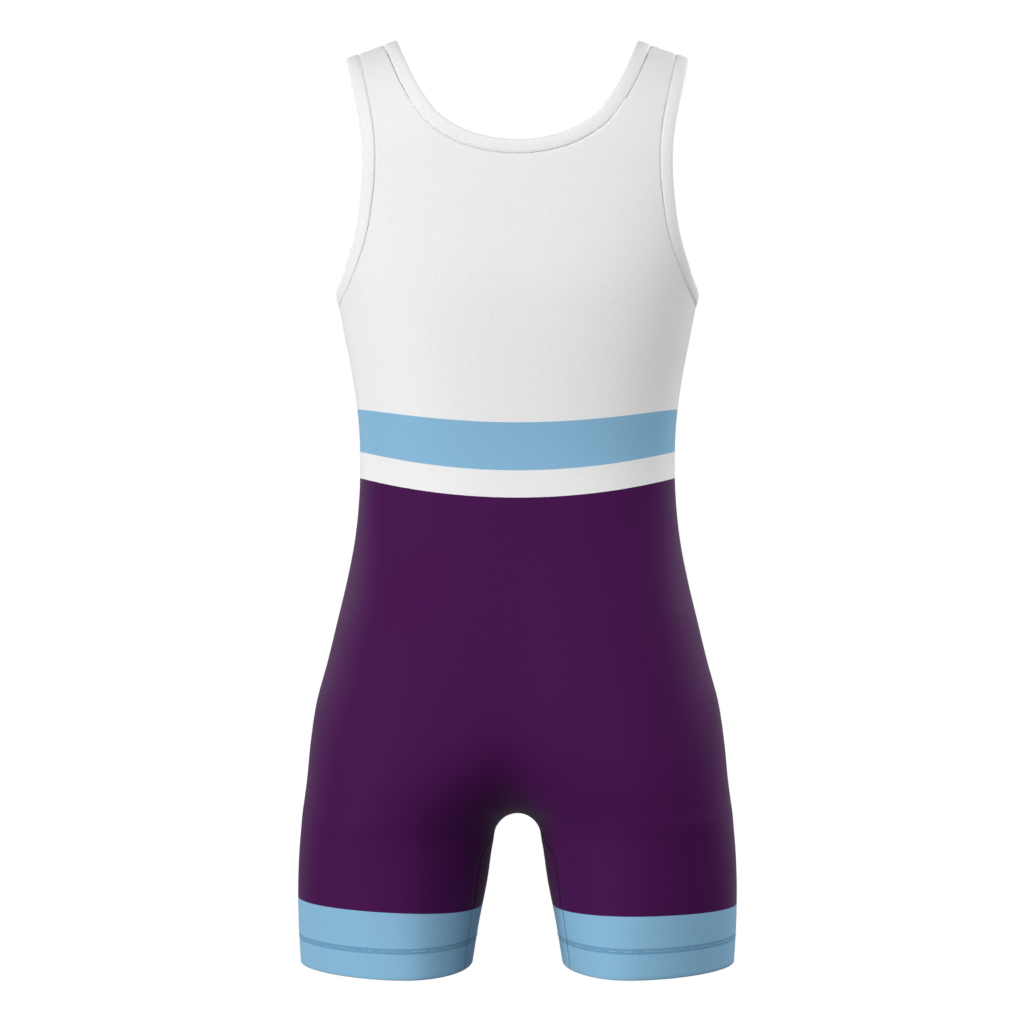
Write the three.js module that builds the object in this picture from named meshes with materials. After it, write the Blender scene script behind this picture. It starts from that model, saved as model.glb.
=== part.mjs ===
// A wrestling singlet, filled out as if worn, with nothing inside it.
// Millimetres, +Z up, the front faces -Y, the wearer's left is +X.
// The origin lies midway between the straps, at the height where they cross the shoulders.
//
// The body is one surface, read by an angle round the body or leg and by a run down from the
// shoulder ridge. The cloth pieces are cut from it as patches between their seams, and each
// patch becomes a closed wall.
import * as THREE from 'three';

// ---- driving dimensions ----
const CLOTH = 1.6;              // one layer of stretched knit
const HEM_CLOTH = 3.0;          // the turned-up hem, two layers
const SEAM_GAP = 0.3;           // between pieces that are sewn together
const BINDING_WIDTH = 12;       // folded strip round neck and armholes
const HEM_LEVEL = 805;          // from the shoulder ridge to the leg hems
const HEM_DEPTH = 25;           // turned up and stitched
const CROTCH_LEVEL = 674;       // where the two legs part
const SHOULDER_TURN = 110;      // depth over which the straps roll over the shoulder
const STRAP_X = 105;            // inner edge of a strap, at the ridge
const SHOULDER_SLOPE = 0.353;   // fall of the shoulder line for each mm outwards
const SLOPE_ENDS = [60, 200];   // levels between which that fall fades out
const CENTRE_EASE = 30;         // distance from the centre line within which it levels off
const INSEAM_SHIFT = 0.46;      // the inseam's turn towards the back, in radians
const INSEAM_FADE = 40;         // length over which it leaves the crotch
const COLUMNS = 12;             // cells across half a panel
const STRAP_ROWS = 18;          // cells along a strap, from the armpit to the ridge
const STRAP_EASE = 1.25;        // above 1 they are shorter in the curves below
const ARMPIT_SAG = 6;           // how far the row at the armpit hangs below its ends
const ARMPIT_ROWS = 9;          // strap rows over which that bend goes away

// One row for each measured level of the body. level: below the ridge. half: half the
// width. axis: the leg's own axis, 0 in the chest. inner: the section's inner reach. web:
// rounding between the legs. front, back: depth. outerPower, innerPower: how full the section
// is on either side of its axis, 2 for an ellipse, more for a squarer one.
const FORM_COLUMNS = [
  'level', 'half', 'axis', 'inner', 'web', 'front', 'back', 'outerPower', 'innerPower',
];
const FORM = [
  [0, 206, 0, -206, 0, 80, 88, 2.5, 2.5],
  [60, 202, 0, -202, 0, 84, 93, 2.5, 2.5],
  [120, 190, 0, -190, 0, 92, 99, 2.5, 2.5],
  [170, 174, 0, -174, 0, 100, 103, 2.5, 2.5],
  [222, 158, 0, -158, 0, 107, 104, 2.5, 2.5],
  [261, 150, 0, -150, 0, 108, 100, 2.45, 2.45],
  [296, 143.4, 0, -143.4, 0, 106, 95, 2.4, 2.4],
  [331, 138.8, 0, -138.8, 0, 102, 90, 2.35, 2.35],
  [366, 137.3, 0, -137.3, 0, 99, 86, 2.3, 2.3],
  [401, 138.3, 6, -150, 3, 98, 87, 2.3, 2.3],
  [436, 142, 18, -155, 10, 98, 91, 2.25, 2.25],
  [471, 148.7, 33, -150, 16, 99, 98, 2.2, 2.2],
  [506, 157, 48, -135, 21, 100, 106, 2.2, 2.2],
  [541, 165.5, 61, -105, 25, 99, 112, 2.15, 2.15],
  [576, 175, 73, -72, 28, 97, 116, 2.1, 2.1],
  [611, 180.3, 85, -36, 30, 94, 117, 2.1, 2.1],
  [646, 183.8, 97, 5, 30, 92, 113, 2.05, 2.05],
  [662, 186, 103, 20, 30, 91, 109, 2, 2],
  [674, 187.7, 107, 30, 30, 90, 106, 2, 2],
  [684, 188.6, 107.5, 34.6, 30, 90, 103, 1.98, 2],
  [700, 190, 107, 36.8, 30, 89, 99.5, 1.94, 2],
  [733, 191.6, 105, 39.9, 30, 87, 94, 1.86, 2],
  [768, 191.3, 102.5, 44.8, 30, 85, 89.5, 1.78, 2.05],
  [805, 189.4, 100, 49.5, 30, 82, 86, 1.7, 2.1],
];

// Free edges, as degrees round the body against the level. 0 is the side, 90 the centre.
const EDGE_COLUMNS = ['angle', 'level'];
const BACK_NECK = [
  [90, 119.7], [84, 117.2], [77.9, 109], [73.2, 97.4], [70.3, 86.3], [68.7, 76],
  [67.2, 64.9], [65.9, 53.5], [64.7, 42.1], [63.6, 30.2], [62.4, 17.3], [61.4, 5.4],
];
const FRONT_NECK = [
  [90, 206], [83, 203.5], [77, 195], [72.4, 181], [69.4, 163], [67.6, 142],
  [66.3, 119], [65.3, 96], [64.2, 73], [63.3, 50], [62.3, 27], [61.4, 6],
];
const BACK_ARM = [
  [0, 222.5], [14, 220.5], [25.4, 213], [34.1, 198], [40.2, 181], [44.2, 163],
  [47, 145], [49.2, 127], [50.6, 108], [51.3, 89], [51.2, 70], [50.5, 50],
  [49.3, 29], [48.1, 11], [47.6, 3],
];
const FRONT_ARM = [
  [0, 222.5], [14, 221.5], [25.4, 216], [34.9, 204], [42.2, 187], [47.4, 168],
  [50.9, 148], [53.1, 127], [54, 106], [54.2, 86], [53.6, 66], [52.2, 47],
  [50.5, 28], [48.5, 11], [47.7, 3],
];

// Levels where the panels' cells meet: inner is on the inseam or the centre line, outer is
// on the side seam. The crotch is the row at CROTCH_LEVEL.
const ROW_COLUMNS = ['inner', 'outer'];
const LEG_ROWS = [
  [805, 805], [792, 793], [781, 782], [778, 779], [762, 765], [746, 753], [731, 743],
  [717, 735], [705, 729], [695, 725], [687, 721], [681, 718], [677, 715.5], [674.8, 713],
  [674, 710.5],
];
const SEAT_ROWS = [
  [673, 706.5], [670.8, 701], [667, 694], [661, 685], [652, 673], [640, 658], [625, 640],
  [607, 619], [586, 596], [563, 570], [538, 542], [511, 513], [482, 482], [453, 453],
  [424, 424], [394, 394], [363, 363], [332, 332],
];
// The chest rows run from the last seat row to the neck's lowest point and the armpit.
const CHEST_OUTER = [313, 296, 281, 268.5, 258, 249, 241.5];

// Section of a folded binding: across is measured from its free edge, out from the panel's face.
const BINDING_COLUMNS = ['across', 'out'];
const BINDING_SECTION = [
  [12, 0.1], [6.5, 0.5], [1.3, 0.3], [0, -0.8], [1.3, -1.9], [6.5, -2.1], [12, -1.7],
];

// ---- reading tables ----
const pick = (rows, columns, name) => rows.map((row) => row[columns.indexOf(name)]);

// A smooth curve through a table's column, with the slope at each row from its neighbours.
function smoothColumn(xs, ys) {
  const slope = (i) => (ys[i + 1] - ys[i]) / (xs[i + 1] - xs[i]);
  const last = xs.length - 1;
  const slopes = xs.map((x, i) => {
    if (i === 0) return slope(0);
    if (i === last) return slope(last - 1);
    const before = x - xs[i - 1];
    const after = xs[i + 1] - x;
    return (after * slope(i - 1) + before * slope(i)) / (before + after);
  });
  return (value) => {
    const x = THREE.MathUtils.clamp(value, xs[0], xs[last]);
    let i = 0;
    while (i < last - 1 && xs[i + 1] <= x) i += 1;
    const h = xs[i + 1] - xs[i];
    const u = (x - xs[i]) / h;
    const v = 1 - u;
    return ys[i] * (1 + 2 * u) * v * v + slopes[i] * h * u * v * v
      + ys[i + 1] * u * u * (3 - 2 * u) - slopes[i + 1] * h * u * u * v;
  };
}

const LEVELS = pick(FORM, FORM_COLUMNS, 'level');
const form = Object.fromEntries(
  FORM_COLUMNS.slice(1).map((name) => [name, smoothColumn(LEVELS, pick(FORM, FORM_COLUMNS, name))]),
);

// ---- the surface ----
// The run down the surface from the ridge follows a quarter circle, then goes straight.
const TURN_RUN = SHOULDER_TURN * Math.PI / 2;

function levelOfRun(run) {
  const r = Math.abs(run);
  if (r >= TURN_RUN) return SHOULDER_TURN + r - TURN_RUN;
  return SHOULDER_TURN * (1 - Math.cos(r / SHOULDER_TURN));
}

function runOfLevel(level) {
  if (level >= SHOULDER_TURN) return TURN_RUN + level - SHOULDER_TURN;
  return SHOULDER_TURN * Math.acos(1 - level / SHOULDER_TURN);
}

// The section's power on one side of its axis: outwards is positive.
const powerAt = (level, outwards) => (outwards > 0 ? form.outerPower : form.innerPower)(level);

// Distance from the axis to a section of unit size, at an angle.
function unitReach(angle, exponent) {
  const sum = Math.abs(Math.cos(angle)) ** exponent + Math.abs(Math.sin(angle)) ** exponent;
  return sum ** (-1 / exponent);
}

// Point of the outer face. A negative run is the front side of the ridge, which is the same
// as a negative angle with a positive run.
function surfacePoint(angle, run) {
  const level = levelOfRun(run);
  const web = form.web(level);
  const axis = form.axis(level);
  const unit = unitReach(angle, powerAt(level, Math.cos(angle)));
  const across = unit * Math.cos(angle);
  const along = unit * Math.sin(angle) * Math.sign(run || 1);
  const reach = across > 0 ? Math.hypot(form.half(level), web) - axis : axis - form.inner(level);
  const spread = axis + reach * across;
  const x = Math.sqrt(Math.max(spread * spread - web * web, 0)) * (web > 0 ? 1 : Math.sign(spread));
  const turn = Math.abs(run) < TURN_RUN ? Math.sin(Math.abs(run) / SHOULDER_TURN) : 1;
  const y = (along > 0 ? form.back(level) : form.front(level)) * along * turn;
  const fade = 1 - THREE.MathUtils.smoothstep(level, SLOPE_ENDS[0], SLOPE_ENDS[1]);
  const near = Math.min(Math.abs(x), CENTRE_EASE);
  const aside = Math.abs(x) + (CENTRE_EASE - near) ** 2 / (2 * CENTRE_EASE);
  return new THREE.Vector3(x, y, -level - SHOULDER_SLOPE * (aside - STRAP_X) * fade);
}

// Angle at which a level reaches the plane between the wearer's left and right.
function centreAngle(level) {
  const reach = form.axis(level) - form.inner(level);
  const across = THREE.MathUtils.clamp((form.axis(level) - form.web(level)) / reach, 0, 1);
  const along = (1 - across ** form.innerPower(level)) ** (1 / form.innerPower(level));
  return Math.PI - Math.atan2(along, across);
}

// Outward normal. By the chest it comes from the surface's two directions. By the legs it
// comes from how fast a point leaves the section, which also holds where the legs part.
const NORMAL_SWITCH = 300;

function outside(x, y, z) {
  const level = -z;
  const axis = form.axis(level);
  const spread = Math.hypot(x, form.web(level)) - axis;
  const reach = spread > 0
    ? Math.hypot(form.half(level), form.web(level)) - axis
    : axis - form.inner(level);
  const depth = y > 0 ? form.back(level) : form.front(level);
  const n = powerAt(level, spread);
  return Math.abs(spread / reach) ** n + Math.abs(y / depth) ** n;
}

function surfaceNormal(angle, run) {
  if (levelOfRun(run) > NORMAL_SWITCH) {
    const { x, y, z } = surfacePoint(angle, run);
    const h = 0.05;
    return new THREE.Vector3(
      outside(x + h, y, z) - outside(x - h, y, z),
      outside(x, y + h, z) - outside(x, y - h, z),
      outside(x, y, z + h) - outside(x, y, z - h),
    ).normalize();
  }
  const { byAngle, byRun } = directions(angle, run);
  return byRun.cross(byAngle).normalize();
}

function directions(angle, run) {
  const turn = 0.002;
  const step = 0.2;
  const byAngle = surfacePoint(angle + turn, run).sub(surfacePoint(angle - turn, run));
  const byRun = surfacePoint(angle, run + step).sub(surfacePoint(angle, run - step));
  return { byAngle: byAngle.divideScalar(2 * turn), byRun: byRun.divideScalar(2 * step) };
}

// ---- curves on the surface ----
// A spot is a place on the surface: its angle and run.
const spotOf = ([angle, level], side) => ({
  angle: THREE.MathUtils.degToRad(angle),
  run: side * runOfLevel(level),
});
const pointAt = ({ angle, run }) => surfacePoint(angle, run);
const normalAt = ({ angle, run }) => surfaceNormal(angle, run);

// The spot nearest to a point that lies close to the surface.
function nearestSpot(start, target) {
  let { angle, run } = start;
  for (let pass = 0; pass < 8; pass += 1) {
    const away = target.clone().sub(surfacePoint(angle, run));
    const { byAngle: a, byRun: b } = directions(angle, run);
    const aa = a.dot(a);
    const ab = a.dot(b);
    const bb = b.dot(b);
    const scale = aa * bb - ab * ab;
    angle += (bb * a.dot(away) - ab * b.dot(away)) / scale;
    run += (aa * b.dot(away) - ab * a.dot(away)) / scale;
  }
  return { angle, run };
}

// A smooth edge through its tables, from the back's first row over the ridge to the front's
// first row. wrap carries a spot past either end, so that the curve meets itself there. hand
// is 1 where the cloth lies to the right of the way the curve runs, seen from outside.
function edgeCurve(backRows, frontRows, wrap, hand) {
  const back = backRows.map((row) => spotOf(row, 1));
  const front = frontRows.map((row) => spotOf(row, -1)).reverse();
  const spots = [wrap(front.at(-2), back[1]), ...back, ...front, wrap(back[1], front.at(-2))];
  const lengths = [0];
  for (let i = 1; i < spots.length; i += 1) {
    lengths.push(lengths[i - 1] + pointAt(spots[i]).distanceTo(pointAt(spots[i - 1])));
  }
  const angleAt = smoothColumn(lengths, spots.map(({ angle }) => angle));
  const runAt = smoothColumn(lengths, spots.map(({ run }) => run));
  const start = lengths[1];
  const end = lengths.at(-2);
  const spotAt = (length) => ({ angle: angleAt(start + length), run: runAt(start + length) });

  // The place where the curve crosses the ridge.
  let low = 0;
  let high = end - start;
  while (high - low > 1e-6) {
    const middle = (low + high) / 2;
    if (spotAt(middle).run > 0) low = middle;
    else high = middle;
  }

  // The spot at a distance from the edge, into the cloth.
  const inward = (length, across) => {
    const spot = spotAt(length);
    const ahead = pointAt(spotAt(length + 0.5)).sub(pointAt(spotAt(length - 0.5)));
    const aside = ahead.cross(normalAt(spot)).normalize();
    return nearestSpot(spot, pointAt(spot).addScaledVector(aside, hand * across));
  };
  return { length: end - start, ridge: low, inward };
}

// Lengths along an edge where the cells of a strap and of its bindings meet, from the
// lowest place up to the ridge.
function strapLengths(curve, side) {
  const start = side > 0 ? 0 : curve.length;
  const lengths = [];
  for (let i = 0; i <= STRAP_ROWS; i += 1) {
    lengths.push(THREE.MathUtils.lerp(start, curve.ridge, (i / STRAP_ROWS) ** STRAP_EASE));
  }
  return lengths;
}

const mirrored = ({ angle, run }) => ({ angle: Math.PI - angle, run });
const throughSide = ({ angle, run }) => ({ angle: -angle, run: -run });
const neck = edgeCurve(BACK_NECK, FRONT_NECK, (across, same) => mirrored(same), -1);
const arm = edgeCurve(BACK_ARM, FRONT_ARM, (across) => throughSide(across), 1);

// ---- closed solids ----
// Two triangles for four corners, split along the shorter diagonal.
function split(positions, [a, b, c, d]) {
  const short = positions[a].distanceTo(positions[c]) <= positions[b].distanceTo(positions[d]);
  return short ? [[a, b, c], [a, c, d]] : [[a, b, d], [b, c, d]];
}

// Closes a sheet into a wall: the outer face, the same face moved in, and a strip round
// every free edge.
function wall(spots, quads) {
  const count = spots.length;
  const positions = spots.map(({ point }) => point)
    .concat(spots.map(({ point, normal, cloth }) => point.clone().addScaledVector(normal, -cloth)));
  const triangles = [];
  const edges = new Map();
  for (const quad of quads) {
    for (const [i, j, k] of split(positions, quad)) {
      triangles.push([i, j, k], [i + count, k + count, j + count]);
      for (const [from, to] of [[i, j], [j, k], [k, i]]) edges.set(`${from},${to}`, [from, to]);
    }
  }
  for (const [from, to] of edges.values()) {
    if (edges.has(`${to},${from}`)) continue;
    triangles.push(...split(positions, [to, from, from + count, to + count]));
  }
  return solid(positions, triangles);
}

function solid(positions, triangles) {
  const geometry = new THREE.BufferGeometry().setFromPoints(positions);
  geometry.setIndex(triangles.flat());
  geometry.computeVertexNormals();
  return geometry;
}

// A closed ring of sections, each a list of points.
function ring(sections) {
  const size = sections[0].length;
  const positions = sections.flat();
  const triangles = [];
  sections.forEach((section, i) => {
    const next = (i + 1) % sections.length;
    for (let j = 0; j < size; j += 1) {
      const k = (j + 1) % size;
      const corners = [i * size + j, i * size + k, next * size + k, next * size + j];
      triangles.push(...split(positions, corners));
    }
  });
  return solid(positions, triangles);
}

// ---- panels ----
// Rows of one half of a panel, from the hem up. side is 1 for the back, -1 for the front.
function panelRows(side) {
  const seamAngle = (level) => {
    const fade = THREE.MathUtils.smoothstep(level, CROTCH_LEVEL, CROTCH_LEVEL + INSEAM_FADE);
    return Math.PI - side * INSEAM_SHIFT * fade;
  };
  const sideSpot = (level) => ({ angle: 0, run: side * runOfLevel(level) });
  const row = (from, to, kind, bend = 0, cloth = CLOTH) => ({ from, to, kind, bend, cloth });
  const rows = LEG_ROWS.map(([inner, outer]) => {
    const cloth = inner > HEM_LEVEL - HEM_DEPTH ? HEM_CLOTH : CLOTH;
    const from = { angle: seamAngle(inner), run: side * runOfLevel(inner) };
    return row(from, sideSpot(outer), inner > CROTCH_LEVEL ? 'leg' : 'crotch', 0, cloth);
  });
  const centreSpot = (level) => ({ angle: centreAngle(level), run: side * runOfLevel(level) });
  for (const [inner, outer] of SEAT_ROWS) rows.push(row(centreSpot(inner), sideSpot(outer), 'body'));

  const reach = BINDING_WIDTH + SEAM_GAP;
  const neckSpots = strapLengths(neck, side).map((length) => neck.inward(length, reach));
  const armSpots = strapLengths(arm, side).map((length) => arm.inward(length, reach));
  const neckLow = levelOfRun(neckSpots[0].run);
  const lastSeat = SEAT_ROWS.at(-1)[0];
  CHEST_OUTER.forEach((outer, i) => {
    const share = (i + 1) / (CHEST_OUTER.length + 1);
    const level = THREE.MathUtils.lerp(lastSeat, neckLow, share);
    rows.push(row(centreSpot(level), sideSpot(outer), 'body', share));
  });
  neckSpots.forEach((from, i) => {
    const kind = i === 0 ? 'body' : 'strap';
    const bend = Math.max(1 - i / ARMPIT_ROWS, 0);
    rows.push(row(from, armSpots[i], i === STRAP_ROWS ? 'ridge' : kind, bend));
  });
  return rows;
}

// Moves a seam's point back from the seam by half the gap. inward runs into the cloth and
// seam runs along the seam.
function recede(point, inward, seam) {
  const along = seam.clone().normalize();
  const away = inward.clone().addScaledVector(along, -inward.dot(along)).normalize();
  return point.clone().addScaledVector(away, SEAM_GAP / 2);
}

function panel(side) {
  const rows = panelRows(side);
  const grid = rows.map(({ from, to, bend, cloth }) => {
    const cells = [];
    for (let i = 0; i <= COLUMNS; i += 1) {
      const share = i / COLUMNS;
      const angle = THREE.MathUtils.lerp(from.angle, to.angle, share);
      const flat = share + bend * share * (1 - share);
      const sag = side * bend * ARMPIT_SAG * 6.75 * share * share * (1 - share);
      const run = THREE.MathUtils.lerp(from.run, to.run, flat) + sag;
      cells.push({ point: surfacePoint(angle, run), normal: surfaceNormal(angle, run), cloth });
    }
    return cells;
  });
  const moved = grid.map((cells) => cells.map((cell) => cell.point));
  const between = (a, b) => b.clone().sub(a);
  rows.forEach(({ kind }, r) => {
    const cells = grid[r];
    const below = grid[Math.max(r - 1, 0)];
    const above = grid[Math.min(r + 1, grid.length - 1)];
    const last = COLUMNS;
    if (kind !== 'strap' && kind !== 'ridge') {
      const next = rows[r + 1].kind === 'strap' ? cells : above;
      const seam = between(below[last].point, next[last].point);
      const inward = between(cells[last].point, cells[last - 1].point);
      moved[r][last] = recede(cells[last].point, inward, seam);
    }
    if (kind === 'leg') {
      const seam = between(below[0].point, above[0].point);
      moved[r][0] = recede(cells[0].point, between(cells[0].point, cells[1].point), seam);
    }
    if (kind === 'crotch') {
      moved[r][0] = new THREE.Vector3(0, side * SEAM_GAP / 2, cells[0].point.z);
    }
    if (kind === 'ridge') {
      const seam = between(cells[0].point, cells[last].point);
      cells.forEach((cell, c) => {
        moved[r][c] = recede(cell.point, between(cell.point, below[c].point), seam);
      });
    }
  });

  const spots = [];
  const index = new Map();
  const spot = (r, c, flip) => {
    const shared = c === 0 && ['crotch', 'body'].includes(rows[r].kind);
    const key = `${r},${c},${shared ? 1 : flip}`;
    if (!index.has(key)) {
      index.set(key, spots.length);
      const turn = new THREE.Vector3(shared ? 0 : flip, 1, 1);
      spots.push({
        point: moved[r][c].clone().multiply(turn),
        normal: grid[r][c].normal.clone().multiply(turn).normalize(),
        cloth: grid[r][c].cloth,
      });
    }
    return index.get(key);
  };
  const quads = [];
  for (let r = 0; r < grid.length - 1; r += 1) {
    for (let c = 0; c < COLUMNS; c += 1) {
      for (const flip of [1, -1]) {
        const places = [[r, c], [r, c + 1], [r + 1, c + 1], [r + 1, c]];
        const corners = places.map(([row, column]) => spot(row, column, flip));
        quads.push(side * flip < 0 ? corners : corners.reverse());
      }
    }
  }
  return wall(spots, quads);
}

// ---- bindings ----
function bindingSection(curve, length, flip = 1) {
  return BINDING_SECTION.map(([across, out]) => {
    const spot = curve.inward(length, across);
    const point = pointAt(spot).addScaledVector(normalAt(spot), out);
    return point.multiply(new THREE.Vector3(flip, 1, 1));
  });
}

function neckBinding() {
  const lengths = strapLengths(neck, 1).concat(strapLengths(neck, -1).slice(0, -1).reverse());
  const left = lengths.map((length) => bindingSection(neck, length));
  const right = lengths.slice(1, -1).reverse().map((length) => bindingSection(neck, length, -1));
  for (const middle of [left[0], left.at(-1)]) middle.forEach((point) => point.setX(0));
  return ring([...left, ...right]);
}

function armBinding(flip) {
  const lengths = strapLengths(arm, 1).concat(strapLengths(arm, -1).slice(1, -1).reverse());
  const sections = lengths.map((length) => bindingSection(arm, length, flip));
  return ring(flip < 0 ? sections : sections.reverse());
}

// ---- the garment ----
const knit = (color) => new THREE.MeshStandardMaterial({ color, roughness: 0.62, metalness: 0 });
const singlet = new THREE.Group();

function sew(name, geometry, material) {
  const mesh = new THREE.Mesh(geometry, material);
  mesh.name = name;
  singlet.add(mesh);
}

sew('back_panel', panel(1), knit('#e5e5e6'));
sew('front_panel', panel(-1), knit('#e5e5e6'));
sew('neck_binding', neckBinding(), knit('#f0f0f1'));
sew('arm_binding_left', armBinding(1), knit('#f0f0f1'));
sew('arm_binding_right', armBinding(-1), knit('#f0f0f1'));

export default singlet;
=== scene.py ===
"""A wrestling singlet's looks: printed knit panels, folded bindings and stitched hems."""

import logging
import math
import random
from bisect import bisect_right
from collections.abc import Callable, Sequence
from dataclasses import dataclass
from enum import Enum
from functools import lru_cache
from typing import ClassVar, NamedTuple

import bmesh
import bpy
from mathutils import Matrix, Vector


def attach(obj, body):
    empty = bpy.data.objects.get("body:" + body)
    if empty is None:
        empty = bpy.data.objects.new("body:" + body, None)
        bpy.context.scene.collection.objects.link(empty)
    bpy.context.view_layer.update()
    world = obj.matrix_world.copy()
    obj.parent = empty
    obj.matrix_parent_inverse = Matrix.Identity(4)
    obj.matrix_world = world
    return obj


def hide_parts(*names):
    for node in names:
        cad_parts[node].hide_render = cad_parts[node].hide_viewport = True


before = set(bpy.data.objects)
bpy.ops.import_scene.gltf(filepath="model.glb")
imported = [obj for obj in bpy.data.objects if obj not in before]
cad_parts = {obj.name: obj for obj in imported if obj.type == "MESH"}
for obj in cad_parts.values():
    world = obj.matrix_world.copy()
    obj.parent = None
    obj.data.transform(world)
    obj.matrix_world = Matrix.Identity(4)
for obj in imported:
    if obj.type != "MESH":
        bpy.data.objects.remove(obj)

log = logging.getLogger("singlet")

Mesh, Piece, Material = bmesh.types.BMesh, bpy.types.Object, bpy.types.Material
Tree, Socket = bpy.types.NodeTree, bpy.types.NodeSocket

# Lengths of the garment are in millimetres. The meshes are in metres.
MM = 0.001
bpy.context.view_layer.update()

CLOTH = 1.45  # one layer of stretched knit
BINDING_CLOTH = 0.8  # one layer of a folded binding
SEAM_GAP = 0.3  # between pieces that are sewn together
# The thread draws the panels closer than that, so no light comes through their seams.
DRAWN_GAP = 0.05
BINDING_WIDTH = 12.0  # folded strip round neck and armholes
HEM_LEVEL = 805.0  # from the shoulder ridge to the leg hems
HEM_DEPTH = 25.0  # turned up inside and stitched
CROTCH_LEVEL = 674.0  # where the two legs part
SHOULDER_TURN = 110.0  # depth over which the straps roll over the shoulder
STRAP_X = 105.0  # inner edge of a strap, at the ridge
SHOULDER_SLOPE = 0.353  # fall of the shoulder line for each mm outwards
SLOPE_ENDS = (60.0, 200.0)  # levels between which that fall fades out
CENTRE_EASE = 30.0  # distance from the centre line within which that fall levels off
INSEAM_SHIFT = 0.46  # the inseam's turn towards the back, in radians
INSEAM_FADE = 40.0  # length over which it leaves the crotch
STRAP_ROWS = 18  # steps along a strap, from the armpit to the ridge
STRAP_EASE = 1.25  # above 1 they are shorter in the curves below
ARMPIT_SAG = 6.0  # how far the row at the armpit hangs below its ends
ARMPIT_ROWS = 9  # strap steps over which that bend goes away
TURN_RUN = SHOULDER_TURN * math.pi / 2
SAG_SCALE = 6.75  # brings the peak of share * share * (1 - share) to 1
CENTRE_SNAP = 0.02  # a panel's vertex this near the centre line is put on it
BINDING_SNAP = 0.3  # the same for the neck binding
MERGE = 0.005  # vertices closer than that become one

BAND_DIP = (13.8, 17.5)  # how much lower the print's bands hang at the centre, top and foot
DIP_LEVEL = 321.6  # level from which that grows from the first to the second
DIP_LENGTH = 36.7  # length over which it does
DIP_ENDS = (430.0, 520.0)  # levels between which it fades out
CUFF_RIPPLE = (-1.06, -1.88, 1.43)  # of the cuffs' top: even, once and twice round a leg
CUFF_LEAN = 1.48  # how much sooner the cuff starts on one leg, and later on the other
CUFF_ENDS = (700.0, 735.0)  # levels between which both set in


class Section(NamedTuple):
    """The body's section at one level.

    half is half the width, axis the leg's own axis, inner the section's inner reach, web the
    rounding between the legs, front and back the depths. The powers say how full the section
    is on either side of its axis: 2 for an ellipse, more for a squarer one.
    """

    level: float
    half: float
    axis: float
    inner: float
    web: float
    front: float
    back: float
    outer_power: float
    inner_power: float

    def power(self, outwards: float) -> float:
        """The power on one side of the axis: outwards is positive."""
        return self.outer_power if outwards > 0 else self.inner_power


FORM = [Section(*row) for row in (
    (0, 206, 0, -206, 0, 80, 88, 2.5, 2.5),
    (60, 202, 0, -202, 0, 84, 93, 2.5, 2.5),
    (120, 190, 0, -190, 0, 92, 99, 2.5, 2.5),
    (170, 174, 0, -174, 0, 100, 103, 2.5, 2.5),
    (222, 158, 0, -158, 0, 107, 104, 2.5, 2.5),
    (261, 150, 0, -150, 0, 108, 100, 2.45, 2.45),
    (296, 143.4, 0, -143.4, 0, 106, 95, 2.4, 2.4),
    (331, 138.8, 0, -138.8, 0, 102, 90, 2.35, 2.35),
    (366, 137.3, 0, -137.3, 0, 99, 86, 2.3, 2.3),
    (401, 138.3, 6, -150, 3, 98, 87, 2.3, 2.3),
    (436, 142, 18, -155, 10, 98, 91, 2.25, 2.25),
    (471, 148.7, 33, -150, 16, 99, 98, 2.2, 2.2),
    (506, 157, 48, -135, 21, 100, 106, 2.2, 2.2),
    (541, 165.5, 61, -105, 25, 99, 112, 2.15, 2.15),
    (576, 175, 73, -72, 28, 97, 116, 2.1, 2.1),
    (611, 180.3, 85, -36, 30, 94, 117, 2.1, 2.1),
    (646, 183.8, 97, 5, 30, 92, 113, 2.05, 2.05),
    (662, 186, 103, 20, 30, 91, 109, 2, 2),
    (674, 187.7, 107, 30, 30, 90, 106, 2, 2),
    (684, 188.6, 107.5, 34.6, 30, 90, 103, 1.98, 2),
    (700, 190, 107, 36.8, 30, 89, 99.5, 1.94, 2),
    (733, 191.6, 105, 39.9, 30, 87, 94, 1.86, 2),
    (768, 191.3, 102.5, 44.8, 30, 85, 89.5, 1.78, 2.05),
    (805, 189.4, 100, 49.5, 30, 82, 86, 1.7, 2.1),
)]

# Free edges, as degrees round the body against the level. 0 is the side, 90 the centre.
BACK_NECK = [
    (90, 119.7), (84, 117.2), (77.9, 109), (73.2, 97.4), (70.3, 86.3), (68.7, 76),
    (67.2, 64.9), (65.9, 53.5), (64.7, 42.1), (63.6, 30.2), (62.4, 17.3), (61.4, 5.4),
]
FRONT_NECK = [
    (90, 206), (83, 203.5), (77, 195), (72.4, 181), (69.4, 163), (67.6, 142),
    (66.3, 119), (65.3, 96), (64.2, 73), (63.3, 50), (62.3, 27), (61.4, 6),
]
BACK_ARM = [
    (0, 222.5), (14, 220.5), (25.4, 213), (34.1, 198), (40.2, 181), (44.2, 163),
    (47, 145), (49.2, 127), (50.6, 108), (51.3, 89), (51.2, 70), (50.5, 50),
    (49.3, 29), (48.1, 11), (47.6, 3),
]
FRONT_ARM = [
    (0, 222.5), (14, 221.5), (25.4, 216), (34.9, 204), (42.2, 187), (47.4, 168),
    (50.9, 148), (53.1, 127), (54, 106), (54.2, 86), (53.6, 66), (52.2, 47),
    (50.5, 28), (48.5, 11), (47.7, 3),
]

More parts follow.
